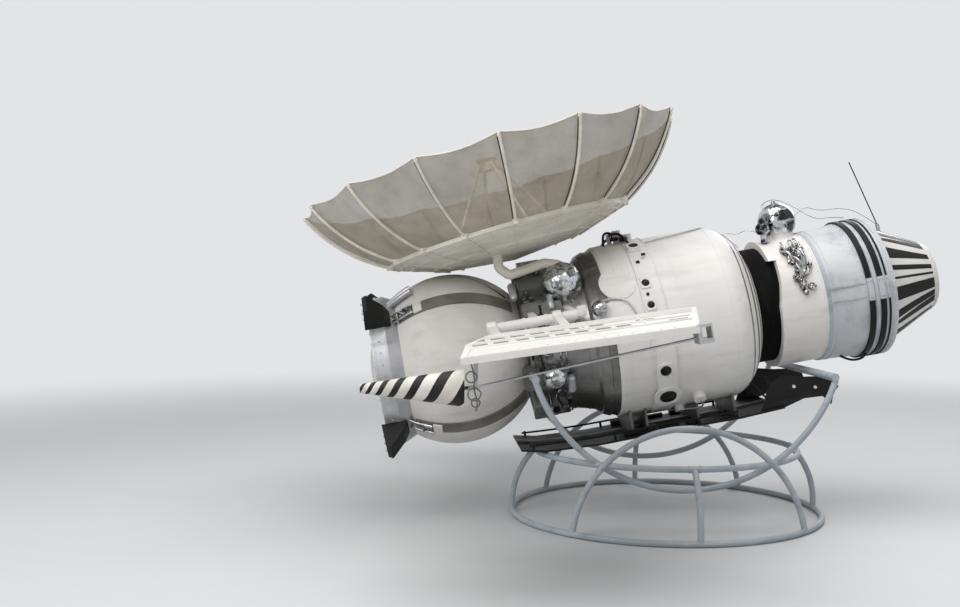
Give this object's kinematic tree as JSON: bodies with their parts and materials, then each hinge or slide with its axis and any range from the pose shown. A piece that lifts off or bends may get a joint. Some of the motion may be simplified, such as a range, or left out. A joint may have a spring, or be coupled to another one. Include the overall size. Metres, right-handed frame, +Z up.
{
  "type": "interplanetary probe on a display stand",
  "caption": "Full-size museum probe: ball capsule, drum body, folding solar panels, umbrella mesh dish and striped engine cone, on a round tube stand.",
  "frame": {"origin": "on the floor, under the middle of the whole object's box", "axes": "+X along the craft from the capsule to the engine cone, +Y the far side, +Z up"},
  "size_m": [3.8243, 4.0002, 2.3955],
  "materials": {
    "stand_paint": "satin",
    "body_white": "satin",
    "capsule_cream": "satin",
    "bay_metal": "satin",
    "unit_grey": "satin",
    "neck_black": "matte",
    "metal_ring": "satin",
    "black_paint": "satin",
    "strap_olive": "matte",
    "chrome_bottle": "polished",
    "foil_drum": "satin",
    "dish_mesh": "matte",
    "rib_metal": "satin",
    "cell_dark": "gloss",
    "shield_black": "matte",
    "hub_cream": "satin"
  },
  "bodies": {
    "root": {"base_ring": "stand_paint", "upper_ring": "stand_paint", "stand_legs": "stand_paint", "stand_hoops": "stand_paint", "stand_cradles": "stand_paint", "cradle_fittings": "stand_paint", "instrument_bay": "bay_metal", "bay_units": "unit_grey", "capsule": "capsule_cream", "lock_ring": "metal_ring", "lock_blocks": "black_paint", "capsule_straps": "strap_olive", "main_body": "body_white", "body_pads": "body_white", "sensor_belt": "body_white", "belt_ports": "black_paint", "body_fittings": "body_white", "neck": "neck_black", "skirt": "body_white", "skirt_valves": "metal_ring", "engine_drum": "foil_drum", "drum_bands": "black_paint", "engine_cone": "body_white", "side_bottles": "chrome_bottle", "top_bottle": "chrome_bottle", "shield_plate": "shield_black", "shield_saddles": "unit_grey", "dish_hub": "hub_cream", "dish_ribs": "rib_metal", "dish_mesh": "dish_mesh", "dish_feed": "rib_metal", "dish_mast": "bay_metal", "coolant_pipe": "hub_cream", "near_hinge_beam": "body_white", "far_hinge_beam": "body_white", "whip_mount": "metal_ring"},
    "near_panel": {"near_panel_frame": "body_white", "near_panel_cells": "cell_dark", "near_panel_fittings": "metal_ring"},
    "far_panel": {"far_panel_frame": "body_white", "far_panel_cells": "cell_dark", "far_panel_fittings": "metal_ring"},
    "near_aerial": {"near_aerial_cone": "body_white"},
    "far_aerial": {"far_aerial_cone": "body_white"},
    "whip": {"whip_rod": "metal_ring"}
  },
  "joints": [
    {"name": "near_panel_hinge", "type": "hinge", "parent": "root", "child": "near_panel", "pos_m": [-0.59846, -0.69, 1.18062], "axis": [-0.9854, 0, -0.1702], "range_deg": [0, 50]},
    {"name": "far_panel_hinge", "type": "hinge", "parent": "root", "child": "far_panel", "pos_m": [-0.59846, 0.69, 1.18062], "axis": [0.9854, 0, 0.1702], "range_deg": [0, 50]},
    {"name": "near_aerial_hinge", "type": "hinge", "parent": "near_panel", "child": "near_aerial", "pos_m": [-0.98954, -1.78, 0.93368], "axis": [0, 1, 0], "range_deg": [-40, 0]},
    {"name": "far_aerial_hinge", "type": "hinge", "parent": "far_panel", "child": "far_aerial", "pos_m": [-0.98954, 1.78, 0.93368], "axis": [0, 1, 0], "range_deg": [-40, 0]},
    {"name": "whip_hinge", "type": "hinge", "parent": "root", "child": "whip", "pos_m": [1.58807, 0, 1.74096], "axis": [0, 1, 0], "range_deg": [-20, 40]}
  ]
}
